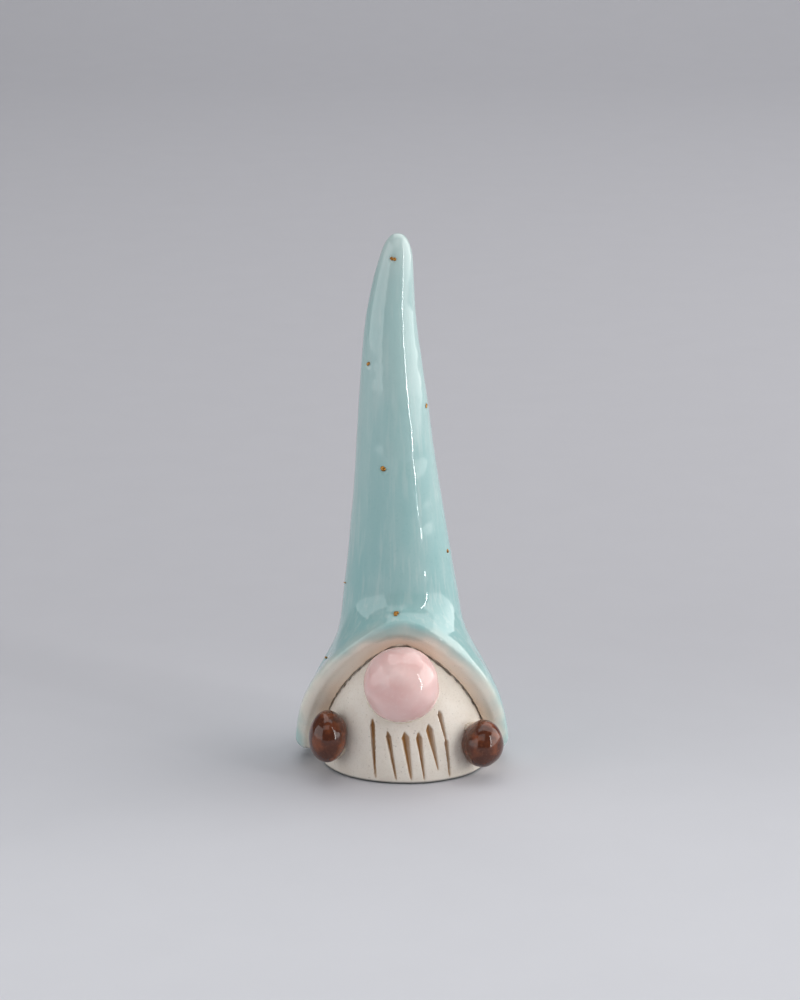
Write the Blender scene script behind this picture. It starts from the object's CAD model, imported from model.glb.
"""Looks of the hand-built ceramic gnome: clay, glaze, lustre, studio and camera.

Every clay piece starts from its CAD solid.  It is remeshed into an even skin, smoothed as a wet
sponge would, and given the slow waves and small marks of hand work.  Blender's lengths are in
metres; a length in millimetres is multiplied by MM where it meets them.
"""
import math

import bmesh
import bpy
import numpy as np
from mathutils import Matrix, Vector, kdtree
from mathutils.bvhtree import BVHTree


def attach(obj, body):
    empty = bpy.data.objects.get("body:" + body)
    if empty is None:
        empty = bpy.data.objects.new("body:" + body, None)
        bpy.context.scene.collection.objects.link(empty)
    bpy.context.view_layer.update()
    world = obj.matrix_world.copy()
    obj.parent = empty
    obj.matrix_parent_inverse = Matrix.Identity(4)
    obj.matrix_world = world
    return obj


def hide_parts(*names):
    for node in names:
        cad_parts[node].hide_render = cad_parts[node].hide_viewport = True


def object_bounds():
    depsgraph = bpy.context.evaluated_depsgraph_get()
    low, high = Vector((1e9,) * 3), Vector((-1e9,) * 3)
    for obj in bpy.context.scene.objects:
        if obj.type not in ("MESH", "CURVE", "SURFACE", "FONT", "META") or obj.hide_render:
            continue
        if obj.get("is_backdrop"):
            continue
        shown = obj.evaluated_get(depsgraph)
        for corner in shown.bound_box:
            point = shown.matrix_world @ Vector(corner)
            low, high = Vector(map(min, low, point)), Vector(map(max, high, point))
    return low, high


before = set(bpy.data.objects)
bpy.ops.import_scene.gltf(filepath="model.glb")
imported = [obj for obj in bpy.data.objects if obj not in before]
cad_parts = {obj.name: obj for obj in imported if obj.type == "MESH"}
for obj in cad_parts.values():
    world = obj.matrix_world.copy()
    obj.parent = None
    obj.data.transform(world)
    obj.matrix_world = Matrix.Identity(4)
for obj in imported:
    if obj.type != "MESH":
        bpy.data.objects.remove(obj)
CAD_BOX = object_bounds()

MM = 0.001
SEED = 11

# Grid of each remeshed skin, and how close vertices are welded, in millimetres
WELD = 0.002
HAT_GRID = 0.38
BODY_GRID = 0.22
BALL_GRID = 0.22
COLLAR_GRID = 0.20
BEAD_GRID = 0.055

# Hat's front, in millimetres: the swell of the brow over the arch and the dip above it, each as
# how far it stands out, its height and its reach up and down
BROW = (0.40, 34.0, 2.6)
DIP = (-0.45, 39.0, 3.0)

# Beard, in millimetres: its span of heights, how far outside the skin each ray starts, how far
# it may go, and how far it must go, so that it lifts no point by more than the difference
BEARD_SPAN = (0.8, 16.0)
RAY_START = 1.0
RAY_REACH = 3.0
RAY_LEAST = 0.9

# Camera: focal length in millimetres, distance in metres, degrees above level, and where it aims
# in metres sideways, in metres back and as a share of the gnome's height
LENS = 121.2
CAMERA_DISTANCE = 0.75
CAMERA_RISE = 15.0
AIM = (-0.00045, 0.0047, 0.4975)


# ---- Mesh tools ----------------------------------------------------------------------------

def weld(nodes):
    """A new mesh with copies of CAD nodes, their split vertices joined again."""
    build = bmesh.new()
    for node in nodes:
        build.from_mesh(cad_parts[node].data)
    bmesh.ops.remove_doubles(build, verts=build.verts, dist=WELD * MM)
    mesh = bpy.data.meshes.new("_".join(nodes) + "_copy")
    build.to_mesh(mesh)
    build.free()
    return mesh


def even_skin(name, mesh, grid):
    """A new object whose mesh is an even net of quads, of a size in millimetres, over closed meshes."""
    piece = bpy.data.objects.new(name, mesh)
    bpy.context.scene.collection.objects.link(piece)
    remesh = piece.modifiers.new("remesh", "REMESH")
    remesh.mode = "VOXEL"
    remesh.voxel_size = grid * MM
    depsgraph = bpy.context.evaluated_depsgraph_get()
    skin = bpy.data.meshes.new_from_object(piece.evaluated_get(depsgraph))
    piece.modifiers.remove(remesh)
    piece.data = skin
    bpy.data.meshes.remove(mesh)
    skin.name = name
    skin.shade_smooth()
    return piece


def clay_skin(name, nodes, grid):
    """An even skin over CAD nodes, without the small shells that a remesh can leave inside."""
    piece = even_skin(name, weld(nodes), grid)
    keep_largest_shell(piece.data)
    return piece


def keep_largest_shell(mesh):
    """Drops the small shells that a remesh can leave between solids that touch."""
    count = len(mesh.vertices)
    links = edge_array(mesh)
    label = np.arange(count)
    while True:
        lowest = np.minimum(label[links[:, 0]], label[links[:, 1]])
        new = label.copy()
        np.minimum.at(new, links[:, 0], lowest)
        np.minimum.at(new, links[:, 1], lowest)
        new = new[new]
        if np.array_equal(new, label):
            break
        label = new
    names, sizes = np.unique(label, return_counts=True)
    if len(names) == 1:
        return
    largest = names[np.argmax(sizes)]
    build = bmesh.new()
    build.from_mesh(mesh)
    build.verts.ensure_lookup_table()
    loose = [build.verts[i] for i in np.flatnonzero(label != largest)]
    bmesh.ops.delete(build, geom=loose, context="VERTS")
    build.to_mesh(mesh)
    build.free()


def points_of(mesh):
    flat = np.empty(len(mesh.vertices) * 3)
    mesh.vertices.foreach_get("co", flat)
    return flat.reshape(-1, 3)


def set_points(mesh, points):
    mesh.vertices.foreach_set("co", points.ravel())
    mesh.update()


def normals_of(mesh):
    flat = np.empty(len(mesh.vertices) * 3)
    mesh.vertex_normals.foreach_get("vector", flat)
    return flat.reshape(-1, 3)


def edge_array(mesh):
    flat = np.empty(len(mesh.edges) * 2, dtype=np.int32)
    mesh.edges.foreach_get("vertices", flat)
    return flat.reshape(-1, 2)


def neighbour_mean(values, edges):
    """The mean of each vertex's neighbours, for one value or one vector per vertex."""
    count = np.bincount(edges.ravel(), minlength=len(values))
    columns = values.reshape(len(values), -1)
    means = np.empty_like(columns)
    for axis in range(columns.shape[1]):
        column = columns[:, axis]
        total = np.bincount(edges[:, 0], column[edges[:, 1]], len(values))
        total += np.bincount(edges[:, 1], column[edges[:, 0]], len(values))
        means[:, axis] = total / np.maximum(count, 1)
    return means.reshape(values.shape)


def blurred(values, edges, passes):
    for _ in range(passes):
        values = 0.5 * values + 0.5 * neighbour_mean(values, edges)
    return values


def sponge(mesh, passes, share=1.0):
    """Smooths a mesh without letting it shrink, by a share that may differ at each vertex."""
    points, edges = points_of(mesh), edge_array(mesh)
    share = np.broadcast_to(share, len(points))[:, None]
    for _ in range(passes):
        points += 0.55 * share * (neighbour_mean(points, edges) - points)
        points -= 0.57 * share * (neighbour_mean(points, edges) - points)
    set_points(mesh, points)


def waves(points, length, seed):
    """Smooth noise between about -1 and 1: a sum of waves in random directions."""
    random = np.random.default_rng(SEED + seed)
    total = np.zeros(len(points))
    for _ in range(14):
        way = random.normal(size=3)
        way /= np.linalg.norm(way)
        pace = 2 * math.pi / (length * random.uniform(0.75, 1.5))
        total += np.sin(points @ way * pace + random.uniform(0, 2 * math.pi))
    return total / 3.8


def push(mesh, distance):
    """Moves each vertex along its normal."""
    set_points(mesh, points_of(mesh) + normals_of(mesh) * distance[:, None])


def swelling(height, amount, middle, reach):
    """How far a soft swelling stands out at each height."""
    return amount * np.exp(-((height - middle) / reach) ** 2)


def note(mesh, name, values):
    """Stores one number per vertex, for a material to read."""
    layer = mesh.attributes.new(name, "FLOAT", "POINT")
    layer.data.foreach_set("value", values.astype(np.float32))


def tree_of(nodes):
    build = bmesh.new()
    for node in nodes:
        build.from_mesh(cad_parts[node].data)
    tree = BVHTree.FromBMesh(build)
    build.free()
    return tree


def distances(points, tree):
    return np.array([tree.find_nearest(Vector(point))[3] for point in points])


def ramp(values, low, high):
    share = np.clip((values - low) / (high - low), 0, 1)
    return share * share * (3 - 2 * share)


# ---- Material tools ------------------------------------------------------------------------

class Shader:
    """A node material, built from the inside out."""

    def __init__(self, name):
        self.material = bpy.data.materials.new(name)
        self.material.use_nodes = True
        self.nodes = self.material.node_tree.nodes
        self.links = self.material.node_tree.links
        self.surface = self.nodes["Principled BSDF"]

    def node(self, kind, **inputs):
        made = self.nodes.new(kind)
        for key, value in inputs.items():
            self.feed(made.inputs[key.replace("_", " ")], value)
        return made

    def feed(self, socket, value):
        if isinstance(value, bpy.types.NodeSocket):
            self.links.new(value, socket)
        else:
            socket.default_value = value

    def set(self, **inputs):
        for key, value in inputs.items():
            self.feed(self.surface.inputs[key.replace("_", " ")], value)

    def attribute(self, name):
        made = self.nodes.new("ShaderNodeAttribute")
        made.attribute_name = name
        return made.outputs["Fac"]

    def noise(self, scale, detail=3.0, roughness=0.5, stretch=(1, 1, 1), shift=0.0):
        where = self.nodes.new("ShaderNodeTexCoord").outputs["Object"]
        mapping = self.node("ShaderNodeMapping", Vector=where)
        mapping.inputs["Scale"].default_value = stretch
        mapping.inputs["Location"].default_value = (shift, shift, shift)
        made = self.node("ShaderNodeTexNoise", Vector=mapping.outputs["Vector"], Scale=scale,
                         Detail=detail, Roughness=roughness)
        return made.outputs["Fac"]

    def math(self, operation, a, b=0.0):
        made = self.nodes.new("ShaderNodeMath")
        made.operation = operation
        self.feed(made.inputs[0], a)
        self.feed(made.inputs[1], b)
        return made.outputs[0]

    def spread(self, value, low, high, to_low=0.0, to_high=1.0):
        """Maps a value's range onto another, held at the ends."""
        made = self.nodes.new("ShaderNodeMapRange")
        made.interpolation_type = "SMOOTHSTEP"
        self.feed(made.inputs["Value"], value)
        for key, number in (("From Min", low), ("From Max", high), ("To Min", to_low), ("To Max", to_high)):
            self.feed(made.inputs[key], number)
        return made.outputs["Result"]

    def mix(self, share, a, b):
        made = self.nodes.new("ShaderNodeMix")
        made.data_type = "RGBA"
        self.feed(made.inputs["Factor"], share)
        for socket, value in ((made.inputs[6], a), (made.inputs[7], b)):
            self.feed(socket, value if isinstance(value, bpy.types.NodeSocket) else (*value, 1.0))
        return made.outputs[2]

    def bump(self, height, distance, strength=1.0):
        made = self.node("ShaderNodeBump", Height=height, Distance=distance, Strength=strength)
        self.set(Normal=made.outputs["Normal"])


def srgb(red, green, blue):
    """A colour on the 0 to 255 scale, as linear light."""
    return tuple((c / 255 / 12.92) if c <= 10 else ((c / 255 + 0.055) / 1.055) ** 2.4
                 for c in (red, green, blue))


def turquoise_glaze():
    """Glossy glaze over clay: deep where it pools, pale on the rim, bare on the lip."""
    s = Shader("turquoise_glaze")
    bare, rim, pool, tip = (s.attribute(name) for name in ("bare", "rim", "pool", "tip"))
    stain, soot = s.attribute("stain"), s.attribute("soot")
    streaks = s.noise(900, 2.0, 0.5, (1, 1, 0.05))
    cloud = s.noise(150, 3.0, 0.55, (1, 1, 0.35), 3.0)
    mottle = s.noise(1700, 3.0, 0.6, (1, 1, 0.7), 7.0)

    deep, middle, pale = srgb(104, 163, 162), srgb(147, 191, 190), srgb(196, 214, 211)
    mint, cream, wash = srgb(192, 208, 201), srgb(236, 228, 214), srgb(240, 219, 197)
    colour = s.mix(s.spread(cloud, 0.3, 0.72), middle, s.mix(0.30, middle, pale))
    colour = s.mix(s.math("MULTIPLY", s.spread(streaks, 0.48, 0.75), 0.32), colour, pale)
    colour = s.mix(s.math("MULTIPLY", s.spread(mottle, 0.5, 0.8), 0.16), colour, deep)
    colour = s.mix(tip, colour, pale)
    colour = s.mix(pool, colour, deep)
    colour = s.mix(rim, colour, mint)
    clay = s.mix(s.math("MULTIPLY", stain, s.spread(cloud, 0.25, 0.7, 0.6, 1.0)), cream, wash)
    specks = s.spread(s.noise(2600, 2.0, 0.6), 0.64, 0.74)
    clay = s.mix(s.math("MULTIPLY", specks, 0.30), clay, srgb(150, 124, 100))
    clay = s.mix(soot, clay, srgb(70, 56, 44))
    s.set(Base_Color=s.mix(bare, colour, clay))
    s.set(Roughness=s.spread(bare, 0.3, 0.95, 0.06, 0.40))
    s.surface.inputs["IOR"].default_value = 1.5
    s.surface.inputs["Coat Weight"].default_value = 0.5
    s.surface.inputs["Coat Roughness"].default_value = 0.02
    s.surface.inputs["Subsurface Weight"].default_value = 0.12
    s.surface.inputs["Subsurface Radius"].default_value = (0.6, 0.8, 0.8)
    s.surface.inputs["Subsurface Scale"].default_value = 1.0 * MM
    grain = s.math("MULTIPLY", s.noise(2400, 3.0, 0.6), bare)
    peel = s.math("MULTIPLY", s.noise(420, 2.0, 0.5, (1, 1, 0.5)), 0.4)
    s.bump(s.math("ADD", grain, peel), 0.05 * MM, 0.6)
    return s.material


def bisque():
    """Bare cream stoneware with brown oxide left in the grooves and cracks."""
    s = Shader("bisque")
    stain, soot, foot = s.attribute("stain"), s.attribute("soot"), s.attribute("foot")
    cloud = s.noise(140, 4.0, 0.6)
    fine = s.noise(2300, 3.0, 0.65)
    cream = s.mix(s.spread(cloud, 0.3, 0.7), srgb(229, 220, 207), srgb(238, 231, 220))
    cream = s.mix(s.math("MULTIPLY", s.spread(fine, 0.5, 0.75), 0.35), cream, srgb(208, 194, 176))
    specks = s.spread(s.noise(1700, 1.0, 0.5, shift=5.0), 0.68, 0.76)
    cream = s.mix(s.math("MULTIPLY", specks, 0.35), cream, srgb(140, 126, 112))
    patchy = s.math("MULTIPLY", stain, s.spread(s.noise(420, 3.0, 0.6, (1, 1, 0.4)), 0.2, 0.6, 0.6, 1.0))
    colour = s.mix(patchy, cream, srgb(168, 120, 62))
    colour = s.mix(soot, colour, srgb(72, 50, 32))
    colour = s.mix(s.math("MULTIPLY", foot, 0.9), colour, srgb(44, 56, 60))
    s.set(Base_Color=colour, Roughness=s.spread(fine, 0.3, 0.7, 0.55, 0.72))
    s.surface.inputs["Subsurface Weight"].default_value = 0.08
    s.surface.inputs["Subsurface Radius"].default_value = (0.8, 0.6, 0.5)
    s.surface.inputs["Subsurface Scale"].default_value = 0.6 * MM
    s.bump(s.math("ADD", fine, s.math("MULTIPLY", s.noise(700, 3.0), 1.5)), 0.05 * MM, 0.7)
    return s.material


def slip():
    """The cream edge of liquid clay squeezed out round a ball."""
    s = Shader("slip")
    fine = s.noise(1800, 3.0, 0.6)
    colour = s.mix(s.spread(fine, 0.35, 0.7), srgb(234, 224, 208), srgb(208, 190, 166))
    s.set(Base_Color=colour, Roughness=s.spread(fine, 0.3, 0.7, 0.40, 0.6))
    s.bump(fine, 0.06 * MM, 0.7)
    return s.material


def pink_glaze():
    """Soft pink gloss, brushed on unevenly, with darker rose where it is thicker."""
    s = Shader("pink_glaze")
    brush = s.noise(90, 1.5, 0.5, (1, 1, 1.8), 1.0)
    fine = s.noise(1100, 3.0, 0.6)
    colour = s.mix(s.spread(brush, 0.32, 0.72), srgb(240, 205, 200), srgb(228, 183, 178))
    colour = s.mix(s.math("MULTIPLY", s.spread(fine, 0.5, 0.75), 0.18), colour, srgb(246, 224, 219))
    s.set(Base_Color=colour, Roughness=s.spread(fine, 0.3, 0.7, 0.07, 0.11))
    s.surface.inputs["Coat Weight"].default_value = 0.3
    s.surface.inputs["Coat Roughness"].default_value = 0.03
    s.surface.inputs["Subsurface Weight"].default_value = 0.15
    s.surface.inputs["Subsurface Radius"].default_value = (1.0, 0.5, 0.5)
    s.surface.inputs["Subsurface Scale"].default_value = 1.0 * MM
    s.bump(s.noise(500, 2.0), 0.05 * MM, 0.4)
    return s.material


def brown_glaze():
    """Dark brown gloss that breaks to orange where it is thin."""
    s = Shader("brown_glaze")
    patches = s.noise(260, 3.0, 0.55, shift=2.0)
    fine = s.noise(1700, 3.0, 0.65)
    colour = s.mix(s.spread(patches, 0.44, 0.70), srgb(80, 39, 22), srgb(126, 66, 36))
    colour = s.mix(s.math("MULTIPLY", s.spread(fine, 0.55, 0.8), 0.4), colour, srgb(150, 92, 62))
    s.set(Base_Color=colour, Roughness=s.spread(fine, 0.3, 0.7, 0.06, 0.10))
    s.surface.inputs["Coat Weight"].default_value = 0.12
    s.surface.inputs["Coat Roughness"].default_value = 0.03
    s.bump(s.noise(450, 3.0), 0.06 * MM, 0.5)
    return s.material


def gold_lustre():
    """Bronze-gold lustre, burnt darker in the hollows of each bead."""
    s = Shader("gold_lustre")
    fine = s.noise(4200, 3.0, 0.6)
    colour = s.mix(s.spread(fine, 0.38, 0.66), srgb(206, 150, 74), srgb(110, 66, 28))
    s.set(Base_Color=colour, Roughness=s.spread(fine, 0.3, 0.7, 0.28, 0.5))
    s.surface.inputs["Metallic"].default_value = 0.85
    s.bump(fine, 0.05 * MM, 0.8)
    return s.material


# ---- Pieces --------------------------------------------------------------------------------

def stand_in(piece, material, slot, *nodes):
    piece.data.materials.clear()
    piece.data.materials.append(material)
    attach(piece, "root")
    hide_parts(*nodes)
    return piece


def past_glaze_edge(points, edges):
    """How far each point lies in from the glaze's edge, in millimetres, or less than 0 on clay."""
    to_glaze = distances(points, tree_of(["hat_glaze"]))
    to_clay = distances(points, tree_of(["hat"]))
    glazed = to_glaze < to_clay
    border = edges[glazed[edges[:, 0]] != glazed[edges[:, 1]]].ravel()
    finder = kdtree.KDTree(len(border))
    for i, index in enumerate(border):
        finder.insert(points[index], i)
    finder.balance()
    from_border = np.array([finder.find(Vector(point))[2] for point in points]) / MM
    return np.where(glazed, from_border, -from_border)


def make_hat():
    """Clay hat and its glaze as one skin, so that the glaze thins out over the lip."""
    piece = clay_skin("gnome_hat", ["hat", "hat_glaze"], HAT_GRID)
    mesh = piece.data
    sponge(mesh, 3)
    body = tree_of(["body"])
    sponge(mesh, 14, ramp(distances(points_of(mesh), body) / MM, 0.5, 2.5))
    points, edges = points_of(mesh), edge_array(mesh)

    inward = past_glaze_edge(points, edges) + 0.45 * waves(points, 5 * MM, 1)

    # The glaze stops short on the legs of the arch, most at the left, and on both sides of its
    # crown, where it runs down
    across, depth, height = points.T / MM
    leg = (1 - ramp(depth, -2.0, 6.0)) * ramp(height, 3.0, 15.0) * (1 - ramp(height, 22.0, 32.0))
    left = 1 - ramp(across, -9.0, 3.0)
    inward -= 0.2 + leg * (1.4 + 1.2 * left)
    front = 1 - ramp(depth, -9.0, -1.0)
    aside = np.abs(across)
    crown = (1 - ramp(aside, 2.0, 6.0)) - 1.2 * ramp(aside, 4.0, 8.0) * (1 - ramp(aside, 11.0, 16.0))
    inward += 0.7 * crown * ramp(height, 20.0, 25.0) * front
    fade = 1.2 + 1.2 * leg
    note(mesh, "bare", 1 - ramp(inward / fade, -1.1, 1.0))
    note(mesh, "rim", 1 - ramp(inward, -0.5, 4.0))
    note(mesh, "tip", 0.45 * ramp(height, 30.0, 116.0) + 0.4 * ramp(height, 108.0, 119.0))

    # Glaze pools in the hollows; brown lies along the crack between hat and head
    soft = blurred(points, edges, 100)
    hollow = np.einsum("ij,ij->i", soft - points, normals_of(mesh)) / MM
    to_body = distances(points, body) / MM
    note(mesh, "pool", 0.8 * blurred(ramp(hollow, 0.02, 0.20), edges, 8))
    note(mesh, "stain", 1 - ramp(to_body + 0.5 * waves(points, 6 * MM, 8), 0.3, 4.0))
    note(mesh, "soot", 1 - ramp(to_body + 0.08 * waves(points, 2.0 * MM, 4), 0.16, 0.36))

    swell = 0.06 * waves(points, 15 * MM, 2) + 0.015 * waves(points, 5 * MM, 3)
    push(mesh, swell * ramp(to_body, 0.1, 2.0) * MM)
    brow = swelling(height, *BROW) + swelling(height, *DIP)
    push(mesh, brow * front * ramp(-normals_of(mesh)[:, 1], 0.2, 0.7) * MM)
    return stand_in(piece, turquoise_glaze(), "turquoise_glaze", "hat", "hat_glaze")


def press_grooves(mesh, tree, ways):
    """Sets the beard back on the CAD surface, which the remesh rounds where a groove is thin.

    ways holds the smooth outward direction at each vertex.
    """
    points = points_of(mesh)
    low, high = BEARD_SPAN
    in_span = (points[:, 2] > low * MM) & (points[:, 2] < high * MM)
    for i in np.flatnonzero(in_span & (ways[:, 1] < -0.5)):
        way = Vector(ways[i])
        start = Vector(points[i]) + way * RAY_START * MM
        hit, _, _, travel = tree.ray_cast(start, -way, RAY_REACH * MM)
        if hit is not None and travel > RAY_LEAST * MM:
            points[i] = hit
    set_points(mesh, points)


def make_body():
    """Head and beard, with brown in the grooves and along the crack under the hat."""
    piece = clay_skin("gnome_body", ["body"], BODY_GRID)
    mesh = piece.data
    sponge(mesh, 2)
    edges = edge_array(mesh)
    ways = blurred(normals_of(mesh), edges, 30)
    ways /= np.linalg.norm(ways, axis=1)[:, None]
    press_grooves(mesh, tree_of(["body"]), ways)
    sponge(mesh, 1)
    points = points_of(mesh)
    hollow = np.einsum("ij,ij->i", blurred(points, edges, 40) - points, ways) / MM
    to_hat = distances(points, tree_of(["hat"])) / MM
    crack = 1 - ramp(to_hat + 0.08 * waves(points, 2.0 * MM, 5), 0.18, 0.34)
    groove = blurred(ramp(hollow, 0.02, 0.14), edges, 2)
    left_wall = ramp(normals_of(mesh)[:, 0], -0.35, 0.35)
    note(mesh, "stain", groove * (0.65 + 0.35 * left_wall))
    note(mesh, "soot", np.maximum(0.8 * crack, 0.65 * ramp(hollow, 0.26, 0.60)))
    note(mesh, "foot", 1 - ramp(points[:, 2] / MM, 0.30, 0.80))
    push(mesh, (0.06 * waves(points, 9 * MM, 6) + 0.015 * waves(points, 2.5 * MM, 7)) * MM)
    return stand_in(piece, bisque(), "bisque", "body")


def make_ball(name, node, material, slot, seed):
    """A clay ball, rolled in the palm and so never quite round."""
    piece = clay_skin(name, [node], BALL_GRID)
    mesh = piece.data
    sponge(mesh, 10)
    points = points_of(mesh)
    push(mesh, (0.13 * waves(points, 9 * MM, seed) + 0.03 * waves(points, 3 * MM, seed + 1)) * MM)
    return stand_in(piece, material, slot, node)


def make_slip_collar(name, node, material, seed):
    piece = clay_skin(name, [node], COLLAR_GRID)
    mesh = piece.data
    sponge(mesh, 4)
    push(mesh, (0.22 + 0.10 * waves(points_of(mesh), 2.4 * MM, seed)) * MM)
    return stand_in(piece, material, "slip", node)


def islands(build):
    """The vertices of each separate shell of a bmesh, always in the same order."""
    seen = set()
    for first in build.verts:
        if first in seen:
            continue
        seen.add(first)
        island, front = [], [first]
        while front:
            vertex = front.pop()
            island.append(vertex)
            for edge in vertex.link_edges:
                other = edge.other_vert(vertex)
                if other not in seen:
                    seen.add(other)
                    front.append(other)
        yield island


def make_beads():
    """Each lustre bead is two or three drops that ran together."""
    build = bmesh.new()
    build.from_mesh(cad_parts["hat_specks"].data)
    bmesh.ops.remove_doubles(build, verts=build.verts, dist=WELD * MM)
    random = np.random.default_rng(SEED)
    drops = bmesh.new()
    for island in islands(build):
        spots = np.array([vertex.co for vertex in island])
        middle = spots.mean(axis=0)
        _, sizes, ways = np.linalg.svd(spots - middle, full_matrices=False)
        reach = np.abs((spots - middle) @ ways[0]).max()
        for k in range(random.integers(2, 4)):
            offset = (ways[0] * random.normal() + ways[1] * random.normal()) * reach * 0.38
            made = bmesh.ops.create_icosphere(drops, subdivisions=3, radius=1.0)
            size = reach * random.uniform(0.5, 0.72)
            for vertex in made["verts"]:
                co = np.array(vertex.co)
                flat = co - ways[2] * (co @ ways[2]) * 0.45
                vertex.co = Vector(middle + offset + flat * size)
    build.free()
    mesh = bpy.data.meshes.new("beads")
    drops.to_mesh(mesh)
    drops.free()
    piece = even_skin("gold_beads", mesh, BEAD_GRID)
    skin = piece.data
    sponge(skin, 2)
    push(skin, 0.03 * MM * waves(points_of(skin), 0.5 * MM, 30))
    return stand_in(piece, gold_lustre(), "gold_lustre", "hat_specks")


make_hat()
make_body()
make_ball("gnome_nose", "nose", pink_glaze(), "pink_glaze", 10)
brown = brown_glaze()
make_ball("gnome_left_hand", "left_hand", brown, "brown_glaze", 14)
make_ball("gnome_right_hand", "right_hand", brown, "brown_glaze", 18)
cream_slip = slip()
for i, node in enumerate(("nose_slip", "left_hand_slip", "right_hand_slip", "hat_seam_slip")):
    make_slip_collar("gnome_" + node, node, cream_slip, 22 + i)
make_beads()


# ---- Studio --------------------------------------------------------------------------------

def sweep():
    """Seamless pale backdrop: a floor that curves up into a wall."""
    depth_front, depth_back, bend, height, half_width = 1.6, 1.1, 0.7, 2.6, 2.6
    profile = [(-depth_front, 0.0), (0.0, 0.0), (depth_back, 0.0)]
    for k in range(1, 13):
        angle = math.pi / 2 * k / 12
        profile.append((depth_back + bend * math.sin(angle), bend * (1 - math.cos(angle))))
    profile.append((depth_back + bend, height))
    build = bmesh.new()
    rows = []
    for y, z in profile:
        rows.append([build.verts.new((x, y, z)) for x in (-half_width, 0.0, half_width)])
    for lower, upper in zip(rows, rows[1:]):
        for k in range(2):
            build.faces.new((lower[k], lower[k + 1], upper[k + 1], upper[k]))
    mesh = bpy.data.meshes.new("sweep")
    build.to_mesh(mesh)
    build.free()
    mesh.shade_smooth()
    piece = bpy.data.objects.new("sweep", mesh)
    bpy.context.scene.collection.objects.link(piece)
    s = Shader("pale_paper")
    where = s.nodes.new("ShaderNodeTexCoord").outputs["Object"]
    back = s.node("ShaderNodeSeparateXYZ", Vector=where).outputs["Y"]
    fine = s.noise(60, 3.0)
    near = s.mix(fine, srgb(209, 210, 215), srgb(212, 213, 218))
    far = s.mix(fine, srgb(184, 184, 189), srgb(187, 187, 192))
    s.set(Base_Color=s.mix(s.spread(back, -0.13, 0.12), near, far), Roughness=0.85)
    s.surface.inputs["Specular IOR Level"].default_value = 0.2
    mesh.materials.append(s.material)
    piece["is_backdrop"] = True


def lamp_at(name, place, rotation, width, height, radiance, colour):
    """A soft box of a given brightness that the camera itself doesn't see."""
    light = bpy.data.lights.new(name, "AREA")
    light.shape = "RECTANGLE"
    light.size = width
    light.size_y = height
    light.energy = radiance * math.pi * width * height
    light.color = colour
    lamp = bpy.data.objects.new(name, light)
    lamp.location = place
    lamp.rotation_euler = rotation
    lamp.visible_camera = False
    bpy.context.scene.collection.objects.link(lamp)


def panel(name, azimuth, distance, width, low, high, radiance, colour=(1, 1, 1)):
    """An upright soft box: azimuth in degrees from the front towards +X, and its two heights."""
    turn = math.radians(azimuth)
    away = Vector((math.sin(turn), -math.cos(turn), 0))
    place = away * distance + Vector((0, 0, (low + high) / 2))
    lamp_at(name, place, away.to_track_quat("Z", "Y").to_euler(), width, high - low, radiance, colour)


def camera():
    """Long lens, a little above the gnome, with the gnome's middle near the picture's middle."""
    low, high = (Vector(corner) for corner in CAD_BOX)
    lens = bpy.data.cameras.new("camera")
    lens.lens = LENS
    lens.sensor_width = 36.0
    lens.clip_start = 0.01
    eye = bpy.data.objects.new("camera", lens)
    rise = math.radians(CAMERA_RISE)
    aim = Vector((AIM[0], AIM[1], AIM[2] * (high.z - low.z)))
    eye.location = aim + Vector((0, -math.cos(rise), math.sin(rise))) * CAMERA_DISTANCE
    eye.rotation_euler = (eye.location - aim).to_track_quat("Z", "Y").to_euler()
    bpy.context.scene.collection.objects.link(eye)
    bpy.context.scene.camera = eye


sweep()
panel("window_right", 93, 0.90, 1.30, 0.0, 0.95, 2.35, (1.0, 0.985, 0.97))
panel("window_slit", 54, 0.85, 0.026, 0.0, 0.85, 24.0, (1.0, 0.995, 0.99))
panel("wall_left", -69, 0.90, 1.25, 0.0, 0.80, 1.25, (0.98, 0.99, 1.0))
lamp_at("ceiling", (0.3, 0.75, 1.25), (0, 0, 0), 1.7, 1.7, 1.35, (1, 1, 1))
lamp_at("front_fill", (-0.15, -0.80, 1.05), (0.66, 0, 0), 1.1, 0.7, 0.8, (1, 1, 1))
camera()

world = bpy.data.worlds.new("room")
world.use_nodes = True
world.node_tree.nodes["Background"].inputs["Color"].default_value = (0.16, 0.162, 0.17, 1.0)
world.node_tree.nodes["Background"].inputs["Strength"].default_value = 1.0
bpy.context.scene.world = world
bpy.context.scene.view_settings.view_transform = "Standard"

boxes = {"cad": CAD_BOX, "visual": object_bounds()}
{key: [list(corner) for corner in box] for key, box in boxes.items()}
